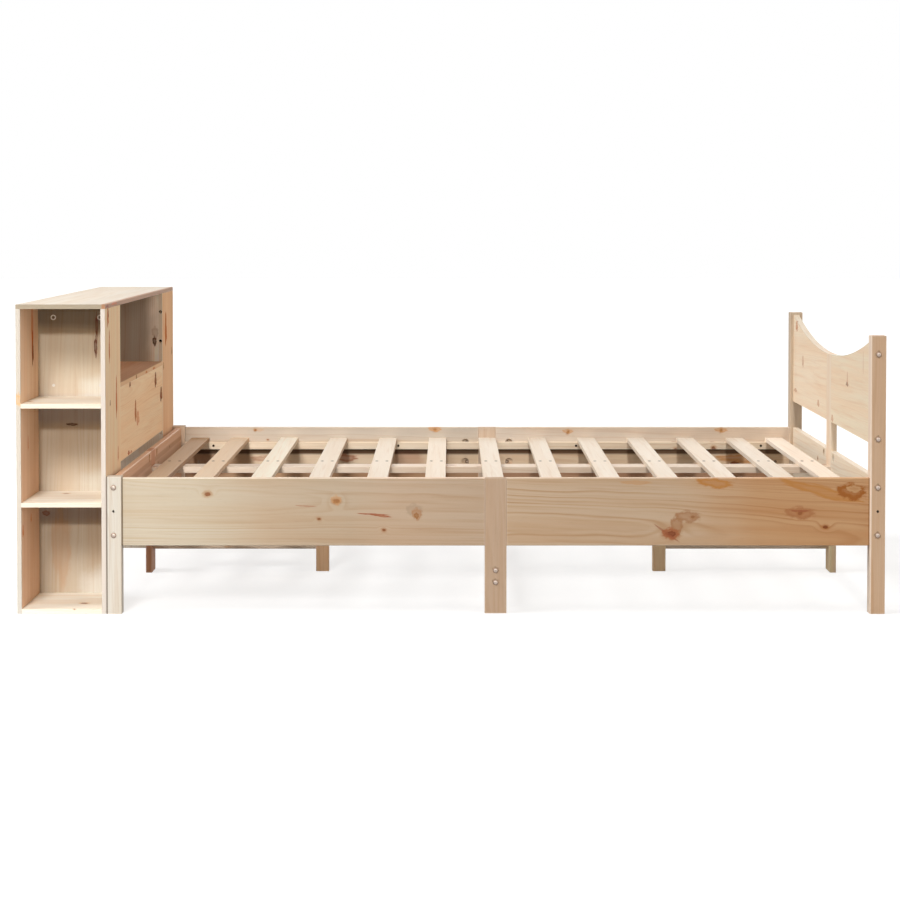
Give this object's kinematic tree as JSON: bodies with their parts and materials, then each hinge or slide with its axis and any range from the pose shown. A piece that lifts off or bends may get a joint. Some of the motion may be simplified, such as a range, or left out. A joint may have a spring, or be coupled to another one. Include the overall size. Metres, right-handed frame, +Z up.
{
  "type": "bed frame",
  "caption": "Solid pine bed frame with slatted base, curved foot panel on square corner posts, split side rails with middle legs, and a free-standing headboard bookcase.",
  "frame": {"origin": "on the floor, under the centre of the object's bounding box", "axes": "+X from the bookcase at the head end to the foot end, +Z up, -Y is the side seen in the picture"},
  "size_m": [2.2946, 1.4644, 0.819],
  "materials": {
    "pale_pine": "planed solid pine, light face, unfinished",
    "pine": "planed solid pine with knots, unfinished",
    "warm_pine": "planed solid pine, redder boards, unfinished",
    "beech": "turned dowel",
    "steel": "bright zinc plated bolts, rods and screws",
    "zinc": "dull zinc plated nuts, cams and screws"
  },
  "bodies": {
    "root": {"top_board": "pale_pine", "near_rear_board": "warm_pine", "near_stile": "warm_pine", "near_divider": "pine", "near_floor_board": "pale_pine", "near_lower_shelf": "pale_pine", "near_upper_shelf": "pale_pine", "far_rear_board": "warm_pine", "far_stile": "warm_pine", "far_divider": "pine", "far_floor_board": "pale_pine", "far_lower_shelf": "pale_pine", "far_upper_shelf": "pale_pine", "centre_shelf": "warm_pine", "front_panel": "warm_pine", "back_panel": "warm_pine", "cam_locks": "zinc", "cam_pins": "steel", "shelf_screws": "steel", "dowels": "beech", "near_head_post": "pale_pine", "far_head_post": "pale_pine", "near_head_rail": "pine", "far_head_rail": "pine", "head_centre_post": "pine", "near_foot_post": "pine", "far_foot_post": "pine", "near_foot_rail": "pine", "far_foot_rail": "pine", "foot_centre_post": "pine", "near_foot_panel": "pine", "far_foot_panel": "pine", "near_head_side_rail": "pine", "near_foot_side_rail": "pine", "far_head_side_rail": "pine", "far_foot_side_rail": "pine", "near_middle_leg": "pine", "far_middle_leg": "pine", "near_head_ledge": "pine", "near_foot_ledge": "pine", "far_head_ledge": "pine", "far_foot_ledge": "pine", "slats": "pale_pine", "head_beam": "pine", "foot_beam": "pine", "head_support_leg": "warm_pine", "foot_support_leg": "warm_pine", "centre_prop": "warm_pine", "head_stretcher": "warm_pine", "foot_stretcher": "warm_pine", "cross_stretcher": "warm_pine", "head_beam_cleat": "pine", "foot_beam_cleat": "pine", "post_bolts": "steel", "barrel_nuts": "zinc", "joint_rods": "steel", "rod_nuts": "zinc", "slat_screws": "zinc", "frame_screws": "zinc"}
  },
  "joints": []
}
